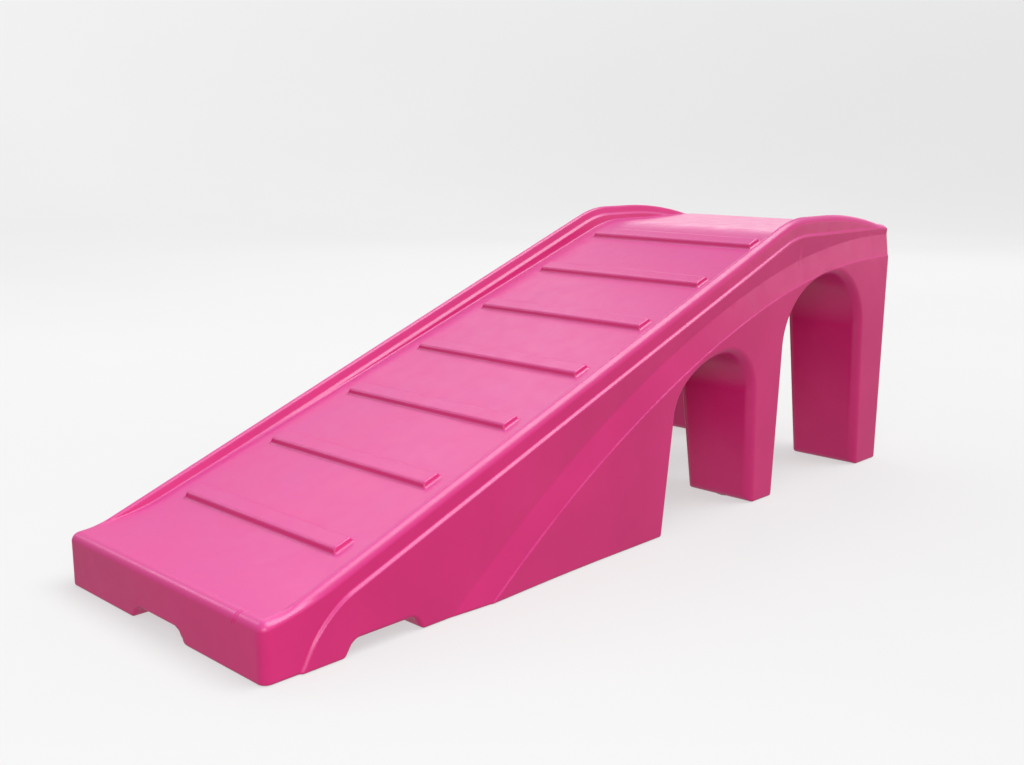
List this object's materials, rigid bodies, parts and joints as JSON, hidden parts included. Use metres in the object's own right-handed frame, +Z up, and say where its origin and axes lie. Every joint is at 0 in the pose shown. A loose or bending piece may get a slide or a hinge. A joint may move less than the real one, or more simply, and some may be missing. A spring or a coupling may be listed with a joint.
{
  "type": "dog ramp",
  "caption": "Moulded plastic dog ramp: low front block, long deck with raised cleats between rounded rails, and a flat platform on arched legs.",
  "frame": {"origin": "on the floor, under the middle of the ramp's length and width", "axes": "+X runs along the ramp from the low front block to the platform, +Y to the left of a dog walking up, +Z up"},
  "size_m": [1.372, 0.4644, 0.462],
  "materials": {
    "pink_polyethylene": "satin, fine moulded orange peel",
    "plug_polyethylene": "satin",
    "black_rubber": "matt",
    "stainless_steel": "bright zinc or stainless",
    "brass": "machined"
  },
  "bodies": {
    "root": {"body_shell": "pink_polyethylene", "vent_plug": "plug_polyethylene", "vent_seal": "black_rubber", "right_front_foot": "black_rubber", "right_front_foot_screw": "stainless_steel", "right_front_foot_insert": "brass", "right_base_foot": "black_rubber", "right_base_foot_screw": "stainless_steel", "right_base_foot_insert": "brass", "right_middle_leg_foot": "black_rubber", "right_middle_leg_foot_screw": "stainless_steel", "right_middle_leg_foot_insert": "brass", "right_rear_leg_foot": "black_rubber", "right_rear_leg_foot_screw": "stainless_steel", "right_rear_leg_foot_insert": "brass", "left_front_foot": "black_rubber", "left_front_foot_screw": "stainless_steel", "left_front_foot_insert": "brass", "left_base_foot": "black_rubber", "left_base_foot_screw": "stainless_steel", "left_base_foot_insert": "brass", "left_middle_leg_foot": "black_rubber", "left_middle_leg_foot_screw": "stainless_steel", "left_middle_leg_foot_insert": "brass", "left_rear_leg_foot": "black_rubber", "left_rear_leg_foot_screw": "stainless_steel", "left_rear_leg_foot_insert": "brass"}
  },
  "joints": []
}
